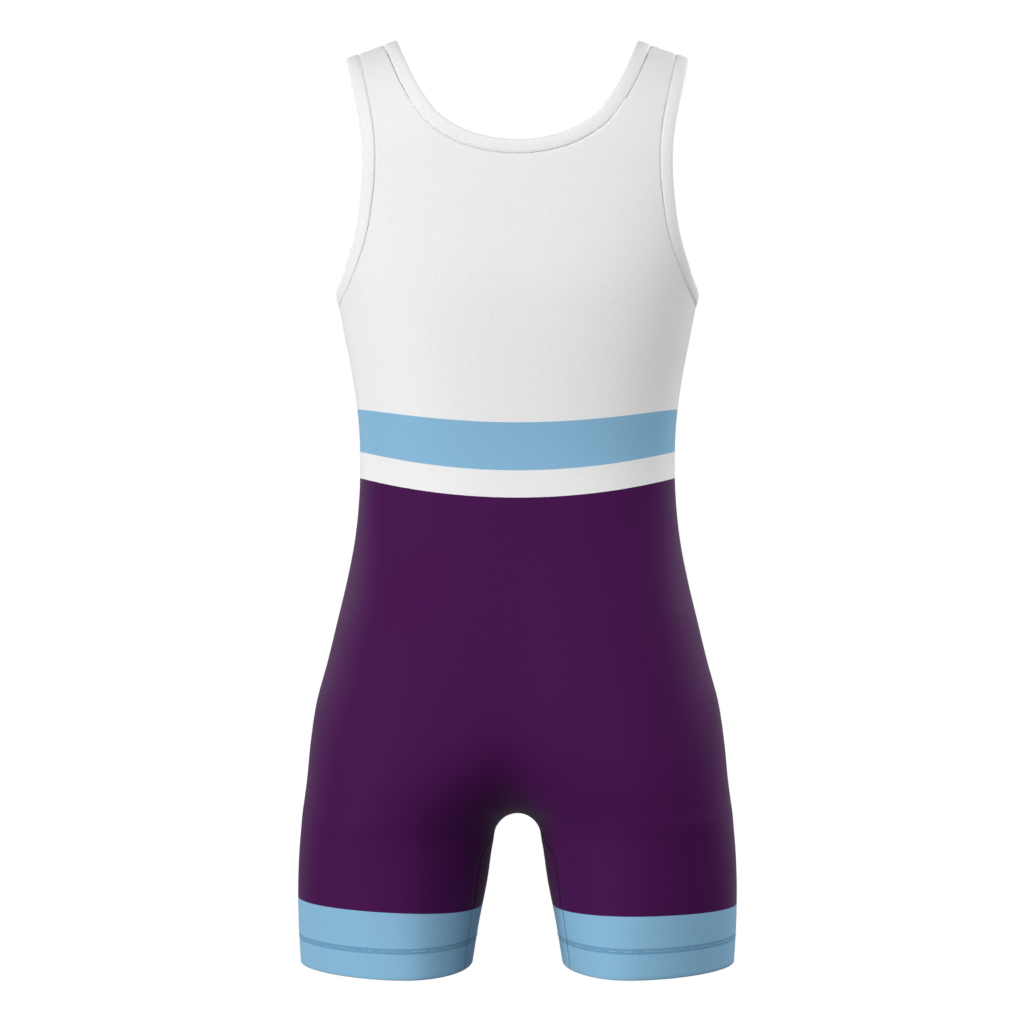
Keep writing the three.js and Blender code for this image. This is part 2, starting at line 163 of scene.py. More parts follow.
# Levels of a panel's rows: the first on the inseam or the centre line, the second on the
# side seam. The row at CROTCH_LEVEL is where the legs part.
LEG_ROWS = [
    (803.5, 803.5), (794, 794.3), (785, 785.8), (776, 777.3), (762, 765), (746, 753),
    (731, 743), (717, 735), (705, 729), (695, 725), (687, 721), (681, 718), (677, 715.5),
    (674.8, 713), (674, 710.5),
]
SEAT_ROWS = [
    (673, 706.5), (670.8, 701), (667, 694), (661, 685), (652, 673), (640, 658), (625, 640),
    (607, 619), (586, 596), (563, 570), (538, 542), (511, 513), (482, 482), (453, 453),
    (424, 424), (394, 394), (363, 363), (332, 332),
]
CHEST_OUTER = [313, 296, 281, 268.5, 258, 249, 241.5]
# The last rows of a strap: steps before the shoulder seam, and how deep the cloth rolls in.
SHOULDER_ROLL = [(0.07, 0.0), (0.03, 0.15), (0, 0.55)]

# The turned-up hem, from its raw edge inside the leg to the fold: level, and depth in the cloth.
HEM_FOLD = [
    (780, 3.1), (786, 3.1), (792, 3.1), (798, 3.1), (803.3, 3.1), (804.3, 2.7), (804.8, 2.15),
    (805, 1.55), (804.8, 0.95), (804.3, 0.4),
]

# Section of a folded binding, from its seam over the fold and back to the seam inside. The
# first number is the distance from its free edge and the second the height over the panel.
BINDING_SECTION = [
    (11.7, -1.25), (11.55, -0.8), (11.25, -0.35), (10.8, 0.0), (10.1, 0.2), (9, 0.38),
    (6.5, 0.55), (3.6, 0.52), (1.5, 0.3), (0.4, -0.2), (0, -0.8), (0.4, -1.4), (1.5, -1.85),
    (3.6, -2.1), (6.5, -2.15), (9, -2.1), (11, -1.95), (11.75, -1.75),
]


class SmoothCurve:
    """A smooth curve through a table's points, with the slope at each from its neighbours."""

    def __init__(self, xs: Sequence[float], ys: Sequence[float]) -> None:
        """Works out the slopes.

        Args:
            xs: rising places of the points.
            ys: their values.
        """
        self.xs, self.ys = list(xs), list(ys)
        steps = [(ys[i + 1] - ys[i]) / (xs[i + 1] - xs[i]) for i in range(len(xs) - 1)]
        self.slopes = [steps[0]]
        for i in range(1, len(xs) - 1):
            before, after = xs[i] - xs[i - 1], xs[i + 1] - xs[i]
            self.slopes.append((after * steps[i - 1] + before * steps[i]) / (before + after))
        self.slopes.append(steps[-1])

    def __call__(self, value: float) -> float:
        """The curve's value at a place, held at both ends."""
        x = min(max(value, self.xs[0]), self.xs[-1])
        i = min(bisect_right(self.xs, x) - 1, len(self.xs) - 2)
        width = self.xs[i + 1] - self.xs[i]
        u = (x - self.xs[i]) / width
        v = 1 - u
        return (
            self.ys[i] * (1 + 2 * u) * v * v
            + self.slopes[i] * width * u * v * v
            + self.ys[i + 1] * u * u * (3 - 2 * u)
            - self.slopes[i + 1] * width * u * u * v
        )


def lerp(a: float, b: float, share: float) -> float:
    """The value a share of the way from a to b."""
    return a + (b - a) * share


def ease(value: float, low: float, high: float) -> float:
    """Smooth step from 0 at low to 1 at high."""
    u = min(max((value - low) / (high - low), 0.0), 1.0)
    return u * u * (3 - 2 * u)


def level_of_run(run: float) -> float:
    """How far below the ridge a run ends: a quarter circle, then straight down."""
    r = abs(run)
    if r >= TURN_RUN:
        return SHOULDER_TURN + r - TURN_RUN
    return SHOULDER_TURN * (1 - math.cos(r / SHOULDER_TURN))


def run_of_level(level: float) -> float:
    """Length down the surface from the ridge to a level."""
    if level >= SHOULDER_TURN:
        return TURN_RUN + level - SHOULDER_TURN
    return SHOULDER_TURN * math.acos(1 - level / SHOULDER_TURN)


class Spot(NamedTuple):
    """A place on the surface: its angle, and its run from the ridge, negative at the front."""

    angle: float
    run: float


class Body:
    """The worn form, which every piece of cloth is laid on.

    Below LEGS_FROM the normal comes from the section's own formula, which stays exact where
    the legs part. Above it the normal comes from two directions along the surface.
    """

    LEGS_FROM = 300.0
    SEARCH_ROUNDS = 5

    def __init__(self, form: Sequence[Section]) -> None:
        """Fits a smooth curve to each column of the form.

        Args:
            form: measured sections, from the ridge down.
        """
        levels = [row.level for row in form]
        names = Section._fields[1:]
        self.curves = [SmoothCurve(levels, [getattr(row, name) for row in form]) for name in names]

    @lru_cache(maxsize=20000)
    def section(self, level: float) -> Section:
        """The section at a level, whose axis and web stay on the wearer's left."""
        at = Section(level, *(curve(level) for curve in self.curves))
        return at._replace(axis=max(at.axis, 0.0), web=max(at.web, 0.0))

    def point(self, angle: float, run: float) -> Vector:
        """Point of the outer face.

        Args:
            angle: radians round the body, from the side.
            run: length from the ridge, negative at the front.

        Returns:
            The point in millimetres.
        """
        level = level_of_run(run)
        at = self.section(level)
        cos, sin = math.cos(angle), math.sin(angle)
        power = at.power(cos)
        unit = (abs(cos) ** power + abs(sin) ** power) ** (-1 / power)
        across = unit * cos
        along = unit * sin * (-1 if run < 0 else 1)
        reach = math.hypot(at.half, at.web) - at.axis if across > 0 else at.axis - at.inner
        spread = at.axis + reach * across
        x = math.sqrt(max(spread * spread - at.web * at.web, 0.0))
        if at.web <= 0 and spread < 0:
            x = -x
        turn = math.sin(abs(run) / SHOULDER_TURN) if abs(run) < TURN_RUN else 1.0
        y = (at.back if along > 0 else at.front) * along * turn
        aside = abs(x)
        if aside < CENTRE_EASE:
            aside = aside * aside / (2 * CENTRE_EASE) + CENTRE_EASE / 2
        fade = 1 - ease(level, *SLOPE_ENDS)
        return Vector((x, y, -level - SHOULDER_SLOPE * (aside - STRAP_X) * fade))

    def centre_angle(self, level: float) -> float:
        """Angle at which a level reaches the plane between the wearer's left and right."""
        at = self.section(level)
        across = min(max((at.axis - at.web) / (at.axis - at.inner), 0.0), 1.0)
        along = (1 - across**at.inner_power) ** (1 / at.inner_power)
        return math.pi - math.atan2(along, across)

    def directions(self, angle: float, run: float) -> tuple[Vector, Vector]:
        """How the point moves with the angle and with the run."""
        turn, step = 0.002, 0.2
        by_angle = self.point(angle + turn, run) - self.point(angle - turn, run)
        by_run = self.point(angle, run + step) - self.point(angle, run - step)
        return by_angle / (2 * turn), by_run / (2 * step)

    def _outside(self, x: float, y: float, z: float) -> float:
        """1 on the surface, more outside and less inside."""
        at = self.section(-z)
        spread = math.hypot(x, at.web) - at.axis
        reach = math.hypot(at.half, at.web) - at.axis if spread > 0 else at.axis - at.inner
        depth = at.back if y > 0 else at.front
        power = at.power(spread)
        return abs(spread / reach) ** power + abs(y / depth) ** power

    def normal(self, angle: float, run: float) -> Vector:
        """Outward direction of the surface."""
        if level_of_run(run) > self.LEGS_FROM:
            x, y, z = self.point(angle, run)
            step = 0.05
            return Vector((
                self._outside(x + step, y, z) - self._outside(x - step, y, z),
                self._outside(x, y + step, z) - self._outside(x, y - step, z),
                self._outside(x, y, z + step) - self._outside(x, y, z - step),
            )).normalized()
        by_angle, by_run = self.directions(angle, run)
        return by_run.cross(by_angle).normalized()

    def nearest(self, start: Spot, target: Vector) -> Spot:
        """The spot nearest to a point that lies close to the surface."""
        angle, run = start
        for _ in range(self.SEARCH_ROUNDS):
            away = target - self.point(angle, run)
            a, b = self.directions(angle, run)
            aa, ab, bb = a.dot(a), a.dot(b), b.dot(b)
            scale = aa * bb - ab * ab
            angle += (bb * a.dot(away) - ab * b.dot(away)) / scale
            run += (aa * b.dot(away) - ab * a.dot(away)) / scale
        return Spot(angle, run)

    def lifted(self, spot: Spot, out: float) -> Vector:
        """The point at a height over the surface."""
        return self.point(*spot) + self.normal(*spot) * out


class Side(Enum):
    """The two halves of the garment. The value is the sign of their runs."""

    BACK = 1
    FRONT = -1


class Edge:
    """A free edge of the garment, from the back's lowest place over the ridge to the front's."""

    def __init__(
        self,
        body: Body,
        back: Sequence[tuple[float, float]],
        front: Sequence[tuple[float, float]],
        beyond: Callable[[Spot, Spot], Spot],
        hand: int,
    ) -> None:
        """Fits a smooth curve through the two tables.

        Args:
            body: the form it lies on.
            back: angle in degrees and level of the back's points.
            front: the same for the front.
            beyond: gives the spot past an end, from the next spots of both tables.
            hand: 1 where the cloth lies to the right of the way the edge runs, or -1.
        """
        self.body, self.hand = body, hand
        rear = [Spot(math.radians(angle), run_of_level(level)) for angle, level in back]
        fore = [Spot(math.radians(angle), -run_of_level(level)) for angle, level in front][::-1]
        spots = [beyond(fore[-2], rear[1]), *rear, *fore, beyond(rear[1], fore[-2])]
        lengths = [0.0]
        for before, after in zip(spots, spots[1:]):
            step = (body.point(*after) - body.point(*before)).length
            lengths.append(lengths[-1] + step)
        self.angle_at = SmoothCurve(lengths, [spot.angle for spot in spots])
        self.run_at = SmoothCurve(lengths, [spot.run for spot in spots])
        self.start = lengths[1]
        self.length = lengths[-2] - lengths[1]
        self.ridge = self._ridge()

    def spot(self, length: float) -> Spot:
        """The spot at a length along the edge."""
        return Spot(self.angle_at(self.start + length), self.run_at(self.start + length))

    def _ridge(self) -> float:
        """Length at which the edge crosses the ridge."""
        low, high, close_enough = 0.0, self.length, 1e-6
        while high - low > close_enough:
            middle = (low + high) / 2
            if self.spot(middle).run > 0:
                low = middle
            else:
                high = middle
        return low

    def inward(self, length: float, across: float) -> Spot:
        """The spot at a distance from the edge, into the cloth."""
        spot, near = self.spot(length), 0.5
        after, before = self.spot(length + near), self.spot(length - near)
        ahead = self.body.point(*after) - self.body.point(*before)
        aside = ahead.cross(self.body.normal(*spot)).normalized()
        return self.body.nearest(spot, self.body.point(*spot) + aside * (self.hand * across))

    def strap_length(self, side: Side, step: float) -> float:
        """Length along the edge at a step of a strap, from 0 at the bottom to the ridge."""
        start = 0.0 if side is Side.BACK else self.length
        return lerp(start, self.ridge, (step / STRAP_ROWS) ** STRAP_EASE)

    def sewn(self, side: Side, step: float) -> Spot:
        """The spot at a step of a strap where the cloth meets the binding."""
        return self.inward(self.strap_length(side, step), BINDING_WIDTH + SEAM_GAP)

    def stations(self, split: int) -> list[float]:
        """Lengths from one end to the other, with each strap step split in so many parts."""
        steps = [i / split for i in range(STRAP_ROWS * split + 1)]
        rear = [self.strap_length(Side.BACK, step) for step in steps]
        fore = [self.strap_length(Side.FRONT, step) for step in steps]
        return rear + fore[-2::-1]


BODY = Body(FORM)
NECK = Edge(BODY, BACK_NECK, FRONT_NECK, lambda _, same: Spot(math.pi - same.angle, same.run), -1)
ARM = Edge(BODY, BACK_ARM, FRONT_ARM, lambda across, _: Spot(-across.angle, -across.run), 1)


def linear(colour: str) -> tuple[float, float, float, float]:
    """Turns an sRGB hex colour to the linear values that sockets take.

    Args:
        colour: six hex digits after a #.

    Returns:
        Red, green, blue and 1.
    """
    parts = [int(colour[i : i + 2], 16) / 255 for i in (1, 3, 5)]
    values = [p / 12.92 if p <= 0.04045 else ((p + 0.055) / 1.055) ** 2.4 for p in parts]
    return (*values, 1.0)


def add(tree: Tree, kind: str, inputs: dict[int | str, object], **settings: object) -> bpy.types.Node:
    """Adds a node with its settings, values and links.

    Args:
        tree: where it goes.
        kind: the node's type, without the ShaderNode that it starts with.
        inputs: a value or an output socket for each input's name or number.
        settings: the node's own properties.

    Returns:
        The node.
    """
    node = tree.nodes.new(f"ShaderNode{kind}")
    for key, value in settings.items():
        setattr(node, key, value)
    for key, value in inputs.items():
        if isinstance(value, Socket):
            tree.links.new(value, node.inputs[key])
        else:
            node.inputs[key].default_value = value
    return node


def reckon(tree: Tree, operation: str, *values: float | Socket) -> Socket:
    """Adds a math node and gives its result."""
    return add(tree, "Math", dict(enumerate(values)), operation=operation).outputs[0]


def blend(tree: Tree, share: float | Socket, first: object, second: object) -> Socket:
    """Adds a mix of two colours and gives its result."""
    return add(tree, "Mix", {0: share, 6: first, 7: second}, data_type="RGBA").outputs[2]


def new_material(name: str) -> tuple[Material, Tree]:
    """Starts a material with an empty node tree."""
    material = bpy.data.materials.new(name)
    material.use_nodes = True
    material.node_tree.nodes.clear()
    return material, material.node_tree


@dataclass(frozen=True)
class KnitFinish:
    """Polyester and elastane jersey: soft, a little satin, with fine slanting rows of loops.

    The loops are about 0.5 mm apart on the real cloth. They are drawn at about three times
    that, because finer ones can't be seen from the photograph's distance.
    """

    loop_rows: float = 1.7
    loop_columns: float = 1.3
    slant: float = math.radians(38)
    relief: float = 0.035
    roughness: float = 0.62
    sheen: float = 0.13
    sheen_roughness: float = 0.33
    specular: float = 0.05
    mottle: float = 0.03
    grain: float = 620.0
    column_share: float = 0.45

    def relief_height(self, tree: Tree, uv_map: str) -> Socket:
        """Height of the loops, from 0 to 1, read along the cloth.

        Args:
            tree: the material's node tree.
            uv_map: the map that follows the cloth, in metres.

        Returns:
            The socket that carries the height.
        """
        where = add(tree, "UVMap", {}, uv_map=uv_map)
        turned = add(tree, "VectorRotate", {"Vector": where.outputs[0], "Angle": self.slant})
        turned.rotation_type = "Z_AXIS"
        parts = add(tree, "SeparateXYZ", {0: turned.outputs[0]})
        waves = []
        for socket, pitch in ((0, self.loop_columns), (1, self.loop_rows)):
            waves.append(self.wave(tree, parts.outputs[socket], pitch))
        both = reckon(tree, "MULTIPLY_ADD", waves[0], self.column_share, waves[1])
        # The sum of both waves comes to lie between 0 and 1.
        return reckon(tree, "MULTIPLY_ADD", both, 0.34, 0.5)

    def wave(self, tree: Tree, coordinate: Socket, pitch: float) -> Socket:
        """A sine wave along a coordinate in metres, with its pitch in millimetres."""
        return reckon(tree, "SINE", reckon(tree, "MULTIPLY", coordinate, math.tau / (pitch * MM)))

    def mottled(self, tree: Tree, colour: Socket) -> Socket:
        """The colour with the slight unevenness of dyed yarn.

        Args:
            tree: the material's node tree.
            colour: the even colour.

        Returns:
            The socket of the uneven colour.
        """
        where = add(tree, "TexCoord", {}).outputs["Object"]
        grain = add(tree, "TexNoise", {"Vector": where, "Scale": self.grain, "Detail": 2.0})
        limits = {0: grain.outputs[0], 1: 0.3, 2: 0.7, 3: 1 - self.mottle, 4: 1 + self.mottle}
        value = add(tree, "MapRange", limits)
        hue = add(tree, "HueSaturation", {"Color": colour, "Value": value.outputs[0]})
        return hue.outputs[0]

    def surface(
        self, tree: Tree, colour: Socket, height: Socket
    ) -> None:
        """Ends the tree in a cloth shader.

        Args:
            tree: the material's node tree.
            colour: base colour.
            height: relief, from 0 to 1.
        """
        bump = add(tree, "Bump", {"Strength": 1.0, "Distance": self.relief * MM, "Height": height})
        shader = add(tree, "BsdfPrincipled", {
            "Base Color": colour,
            "Roughness": self.roughness,
            "Specular IOR Level": self.specular,
            "Sheen Weight": self.sheen,
            "Sheen Roughness": self.sheen_roughness,
            "Normal": bump.outputs[0],
        })
        add(tree, "OutputMaterial", {0: shader.outputs[0]})


@dataclass(frozen=True)
class PrintedKnit(KnitFinish):
    """Jersey with a dye-sublimated print: bands of colour that end in a clean line in the cloth.

    A band under each hem's stitching is darker: painted shade of its pressed channel. wrong_side is
    how far the print fades to white on the inside; the last field gives how much darker the cloth is
    painted where it rolls into the inseam, as painted shade of that recess.
    """

    white: str = "#ebebec"
    blue: str = "#86b5d4"
    purple: str = "#44114b"
    # Painted shade: a darker blue for the band under the hem stitching, standing for its pressed
    # channel's shade.
    painted_channel_shade: str = "#699bbc"
    blue_top: float = 336.1
    blue_foot: float = 376.3
    purple_top: float = 399.1
    cuff_top: float = 751.0
    edge: float = 0.35
    stitch_level: float = HEM_LEVEL - HEM_DEPTH
    stitch_width: float = 4.9
    wrong_side: float = 0.0
    # Painted shade: how much darker the print is painted on the columns that roll into the inseam.
    painted_seam_shade: float = 0.6

    def material(self, name: str) -> Material:
        """Makes the material."""
        material, tree = new_material(name)
        where = add(tree, "UVMap", {}, uv_map="print")
        parts = add(tree, "SeparateXYZ", {0: where.outputs[0]})
        colour: object = linear(self.white)
        zones = (
            (self.blue_top, self.blue),
            (self.blue_foot, self.white),
            (self.purple_top, self.purple),
            (self.cuff_top, self.blue),
        )
        for level, below in zones:
            share = self._past(tree, parts.outputs[1], level)
            colour = blend(tree, share, colour, linear(below))
        # Painted shade: a darker band under the hem stitching, for the shade of its pressed channel.
        top = self._past(tree, parts.outputs[0], self.stitch_level - self.stitch_width / 2)
        foot = self._past(tree, parts.outputs[0], self.stitch_level + self.stitch_width / 2)
        band = reckon(tree, "SUBTRACT", top, foot)
        colour = blend(tree, band, colour, linear(self.painted_channel_shade))
        colour = blend(tree, self.wrong_side, colour, linear(self.white))
        # Painted shade: the print is darkened by the inseam, where the seam's recess would be in
        # shade.
        painted_seam_shade = add(tree, "Attribute", {}, attribute_name="painted_seam_shade").outputs["Fac"]
        depth = reckon(tree, "MULTIPLY_ADD", painted_seam_shade, -self.painted_seam_shade, 1.0)
        shaded = add(tree, "HueSaturation", {"Color": colour, "Value": depth})
        self.surface(tree, self.mottled(tree, shaded.outputs[0]), self.relief_height(tree, "cut"))
        return material

    def _past(
        self, tree: Tree, coordinate: Socket, level: float
    ) -> Socket:
        """1 below a level and 0 above it, with the slight softness of a printed edge."""
        half = self.edge / 2
        limits = {0: coordinate, 1: (level - half) * MM, 2: (level + half) * MM}
        return add(tree, "MapRange", limits).outputs[0]


@dataclass(frozen=True)
class BindingKnit(KnitFinish):
    """White rib knit, folded over the edges: brighter than the panels, with fine ribs across."""

    white: str = "#eeeeef"
    rib: float = 1.5

    def material(self, name: str) -> Material:
        """Makes the material."""
        material, tree = new_material(name)
        where = add(tree, "UVMap", {}, uv_map="cut")
        parts = add(tree, "SeparateXYZ", {0: where.outputs[0]})
        ribs = self.wave(tree, parts.outputs[0], self.rib)
        height = reckon(tree, "MULTIPLY_ADD", ribs, 0.5, 0.5)
        colour = add(tree, "RGB", {})
        colour.outputs[0].default_value = linear(self.white)
        self.surface(tree, self.mottled(tree, colour.outputs[0]), height)
        return material


@dataclass(frozen=True)
class ThreadFinish:
    """Textured polyester sewing thread: matt, with a soft glint along its filaments.

    Its twist is a wave in millimetres, whose relief shades it between the plies, where its colour is
    also darker as painted shade.
    """

    colour: str = "#e9e4dc"
    # Painted shade: a darker thread colour for the hollows between the plies.
    painted_ply_shade: str = "#cfc9c0"
    roughness: float = 0.55
    sheen: float = 0.2
    twist: float = 0.8
    relief: float = 0.05

    def material(self, name: str) -> Material:
        """Makes the material."""
        material, tree = new_material(name)
        where = add(tree, "TexCoord", {})
        plies = add(tree, "TexWave", {
            "Vector": where.outputs["Object"],
            "Scale": 1 / (self.twist * MM * 20 / math.tau),
            "Distortion": 0.6,
        }, wave_type="BANDS", bands_direction="DIAGONAL")
        height = plies.outputs["Fac"]
        bump = add(tree, "Bump", {"Strength": 0.7, "Distance": self.relief * MM, "Height": height})
        # Painted shade: the colour darkens between the plies, where the twist's hollows would be
        # shaded.
        tone = blend(tree, height, linear(self.painted_ply_shade), linear(self.colour))
        shader = add(tree, "BsdfPrincipled", {
            "Base Color": tone,
            "Roughness": self.roughness,
            "Sheen Weight": self.sheen,
            "Normal": bump.outputs[0],
        })
        add(tree, "OutputMaterial", {0: shader.outputs[0]})
        return material


class Wardrobe:
    """The finishes, made once and shared by the pieces."""

    def __init__(self) -> None:
        """Makes every material."""
        self.panel = PrintedKnit().material("printed_polyester_jersey")
        self.lining = PrintedKnit(wrong_side=0.62, sheen=0.15).material("jersey_wrong_side")
        self.binding = BindingKnit(relief=0.05).material("polyester_rib_knit")
        self.thread = ThreadFinish().material("polyester_thread")


class Row(NamedTuple):
    """One row of a panel's half: its ends, how it bends between them and its depth in the cloth.

    The row may end on the inseam, and it may be one of the strap's, which end on the bindings.
    """

    inner: Spot
    outer: Spot
    bend: float
    depth: float
    inseam: bool = False
    strap: bool = False


class Cell(NamedTuple):
    """A vertex of a panel's half: its point, the lengths round and down the cloth, and more."""

    point: Vector
    around: float
    run: float
    level: float
    angle: float


def cloth_grid(
    columns: int, rows: int, names: Sequence[str]
) -> tuple[Mesh, dict[str, object], list[tuple[bmesh.types.BMVert, int, int]]]:
    """Starts a sheet of cloth as a flat grid.

    Args:
        columns: cells across it.
        rows: cells along it.
        names: names of the values that its vertices carry.

    Returns:
        The mesh, the layers by their names, and each vertex with its column and row.
    """
    bm = bmesh.new()
    bmesh.ops.create_grid(bm, x_segments=columns, y_segments=rows, size=1.0)
    layers = {name: bm.verts.layers.float.new(name) for name in names}
    places = []
    for vert in bm.verts:
        column = round((vert.co.x + 1) / 2 * columns)
        places.append((vert, column, round((vert.co.y + 1) / 2 * rows)))
    return bm, layers, places


def mirror_in(bm: Mesh) -> None:
    """Adds the wearer's right half to a mesh of the left one, joined at the centre line."""
    half = bm.verts[:] + bm.edges[:] + bm.faces[:]
    bmesh.ops.mirror(bm, geom=half, axis="X", merge_dist=MERGE * MM)


def turn_outwards(bm: Mesh, probe: bmesh.types.BMFace, outward: Vector) -> None:
    """Turns a sheet round if the right side of one of its faces looks the wrong way."""
    if probe.normal.dot(outward) < 0:
        bmesh.ops.reverse_faces(bm, faces=bm.faces)


def thicken(piece: Piece, wall: float) -> bpy.types.Modifier:
    """Gives a sheet its wall, inwards from its outer face."""
    solidify = piece.modifiers.new("cloth", "SOLIDIFY")
    solidify.thickness = wall * MM
    solidify.offset = -1.0
    return solidify


@dataclass
class Panel:
    """A printed panel, from the hems to the shoulder seams, with its hems turned up inside.

    roll gives the columns beside a seam their distance from it and how deep they roll in
    there, BOUND the share of that beside a binding, and the last table how much painted shade
    darkens the print on the columns beside the inseam. Two narrow columns lie over the end of the
    seam allowance.
    """

    name: str
    side: Side
    columns: int = 60
    leg_split: int = 4
    seat_split: int = 6
    strap_split: int = 4
    roll: tuple[tuple[float, float], ...] = ((0, 1.2), (0.35, 0.55), (0.9, 0.16), (1.8, 0.0))
    allowance: tuple[float, float] = (5.4, 6.9)
    BOUND: ClassVar[float] = 0.6
    # Painted shade beside the inseam, for the three columns next to it.
    PAINTED_SEAM_SHADE: ClassVar[tuple[float, ...]] = (1.0, 1.0, 0.55)

    def seam_angle(self, level: float) -> float:
        """Angle of the inseam at a level."""
        fade = ease(level, CROTCH_LEVEL, CROTCH_LEVEL + INSEAM_FADE)
        return math.pi - self.side.value * INSEAM_SHIFT * fade

    def _low_rows(self) -> list[Row]:
        """Rows from the hems' raw edges to the armpit and the neck's lowest point."""
        sign = self.side.value
        neck_low = level_of_run(NECK.sewn(self.side, 0).run)
        arm_low = level_of_run(ARM.sewn(self.side, 0).run)
        ends = LEG_ROWS + SEAT_ROWS
        last, steps = ends[-1][0], len(CHEST_OUTER) + 1
        for i, outer in enumerate(CHEST_OUTER, 1):
            ends.append((lerp(last, neck_low, i / steps), outer))
        ends.append((neck_low, arm_low))
        places = list(range(len(ends)))
        inner_at = SmoothCurve(places, [inner for inner, _ in ends])
        outer_at = SmoothCurve(places, [outer for _, outer in ends])
        crotch, seat = len(LEG_ROWS) - 1, len(LEG_ROWS) + len(SEAT_ROWS) - 1
        rows = []
        for level, depth in HEM_FOLD:
            inner = Spot(self.seam_angle(level), sign * run_of_level(level))
            rows.append(Row(inner, Spot(0.0, inner.run), 0.0, depth, True))
        for i in places[:-1]:
            split = self.leg_split if i < crotch else self.seat_split
            for j in range(split):
                at = i + j / split
                level, outer = inner_at(at), outer_at(at)
                leg = at < crotch
                angle = self.seam_angle(level) if leg else BODY.centre_angle(level)
                bend = max(at - seat, 0.0) / steps
                low = Spot(angle, sign * run_of_level(level))
                rows.append(Row(low, Spot(0.0, sign * run_of_level(outer)), bend, 0.0, leg))
        return rows

    def _strap_rows(self) -> list[Row]:
        """Rows of the strap, from the armpit to the shoulder seam."""
        rolled = {i / self.strap_split: 0.0 for i in range(STRAP_ROWS * self.strap_split)}
        rolled |= {STRAP_ROWS - before: depth for before, depth in SHOULDER_ROLL}
        rows = []
        for step, depth in rolled.items():
            bend = max(1 - step / ARMPIT_ROWS, 0.0)
            inner, outer = NECK.sewn(self.side, step), ARM.sewn(self.side, step)
            rows.append(Row(inner, outer, bend, depth, strap=True))
        return rows

    def _spot(self, row: Row, share: float) -> Spot:
        """The spot at a share of the way along a row."""
        flat = share + row.bend * share * (1 - share)
        sag = self.side.value * row.bend * ARMPIT_SAG * SAG_SCALE * share * share * (1 - share)
        angle = lerp(row.inner.angle, row.outer.angle, share)
        return Spot(angle, lerp(row.inner.run, row.outer.run, flat) + sag)

    def _shares(self, row: Row) -> list[float]:
        """Shares along a row: even cells, with narrow ones by both edges for the rolled seams."""
        parts = 8
        points = [BODY.point(*self._spot(row, i / parts)) for i in range(parts + 1)]
        width = sum((b - a).length for a, b in zip(points, points[1:]))
        narrow = [offset / width for offset, _ in self.roll]
        narrow += [offset / width for offset in self.allowance]
        rest = self.columns + 1 - 2 * len(narrow)
        first = narrow[-1]
        middle = [lerp(first, 1 - first, (i + 1) / (rest + 1)) for i in range(rest)]
        return narrow + middle + [1 - share for share in reversed(narrow)]

    def _cells(self, row: Row) -> list[Cell]:
        """The vertices of a row, with the seams' gap and rolled edges."""
        cells: list[Cell] = []
        around = max(BODY.point(*row.inner).x, 0.0) if not row.inseam else 0.0
        for column, share in enumerate(self._shares(row)):
            spot = self._spot(row, share)
            point, normal = BODY.point(*spot), BODY.normal(*spot)
            if cells:
                around += (point - before).length
            before = point.copy()
            dip = row.depth
            from_side = self.columns - column
            nearest = min(column, from_side) if row.inseam or row.strap else from_side
            if nearest < len(self.roll):
                dip = max(dip, self.roll[nearest][1] * (self.BOUND if row.strap else 1.0))
            cells.append(Cell(point - normal * dip, around, spot.run, -point.z, spot.angle))
        if row.inseam:
            cells[0] = self._recede(cells[0], cells[1])
        if not row.strap:
            cells[-1] = self._recede(cells[-1], cells[-2])
        return cells

    def _recede(self, cell: Cell, beside: Cell) -> Cell:
        """The cell moved back from a seam by half of what a drawn seam leaves open."""
        away = (beside.point - cell.point).normalized()
        return cell._replace(point=cell.point + away * (DRAWN_GAP / 2))

    def print_level(self, cell: Cell) -> float:
        """Where a cell lies in the print, whose bands dip at the centre and ripple on the legs."""
        at = BODY.section(cell.level)
        dip = lerp(*BAND_DIP, min(max((cell.level - DIP_LEVEL) / DIP_LENGTH, 0.0), 1.0))
        chest = dip * (cell.point.x / at.half) ** 2 * (1 - ease(cell.level, *DIP_ENDS))
        even, once, twice = CUFF_RIPPLE
        ripple = even + once * math.cos(cell.angle) + twice * math.cos(2 * cell.angle)
        return cell.level + chest - ripple * ease(cell.level, *CUFF_ENDS)

    def print_lean(self, cell: Cell) -> float:
        """How much sooner the cuff's print starts on the left leg, and later on the right."""
        return CUFF_LEAN * (1 + math.cos(cell.angle)) * ease(cell.level, *CUFF_ENDS)

    def build(self) -> Piece:
        """Builds the panel as one sheet with a wall, and both hems folded.

        Returns:
            The finished object.
        """
        rows = self._low_rows() + self._strap_rows()
        grid = [self._cells(row) for row in rows]
        names = ("around", "run", "level", "print", "lean", "painted_seam_shade")
        bm, layers, places = cloth_grid(self.columns, len(rows) - 1, names)
        crotch = len(HEM_FOLD) + (len(LEG_ROWS) - 1) * self.leg_split
        for vert, column, row in places:
            cell = grid[row][column]
            vert.co = cell.point * MM
            if column == 0 and row >= crotch and abs(vert.co.x) < CENTRE_SNAP * MM:
                vert.co.x = 0.0
            if column == 0 and row == crotch:
                vert.co.y = self.side.value * DRAWN_GAP / 2 * MM
            vert[layers["around"]] = cell.around * MM
            vert[layers["run"]] = abs(cell.run) * MM
            vert[layers["level"]] = cell.level * MM
            vert[layers["print"]] = self.print_level(cell) * MM
            vert[layers["lean"]] = self.print_lean(cell) * MM
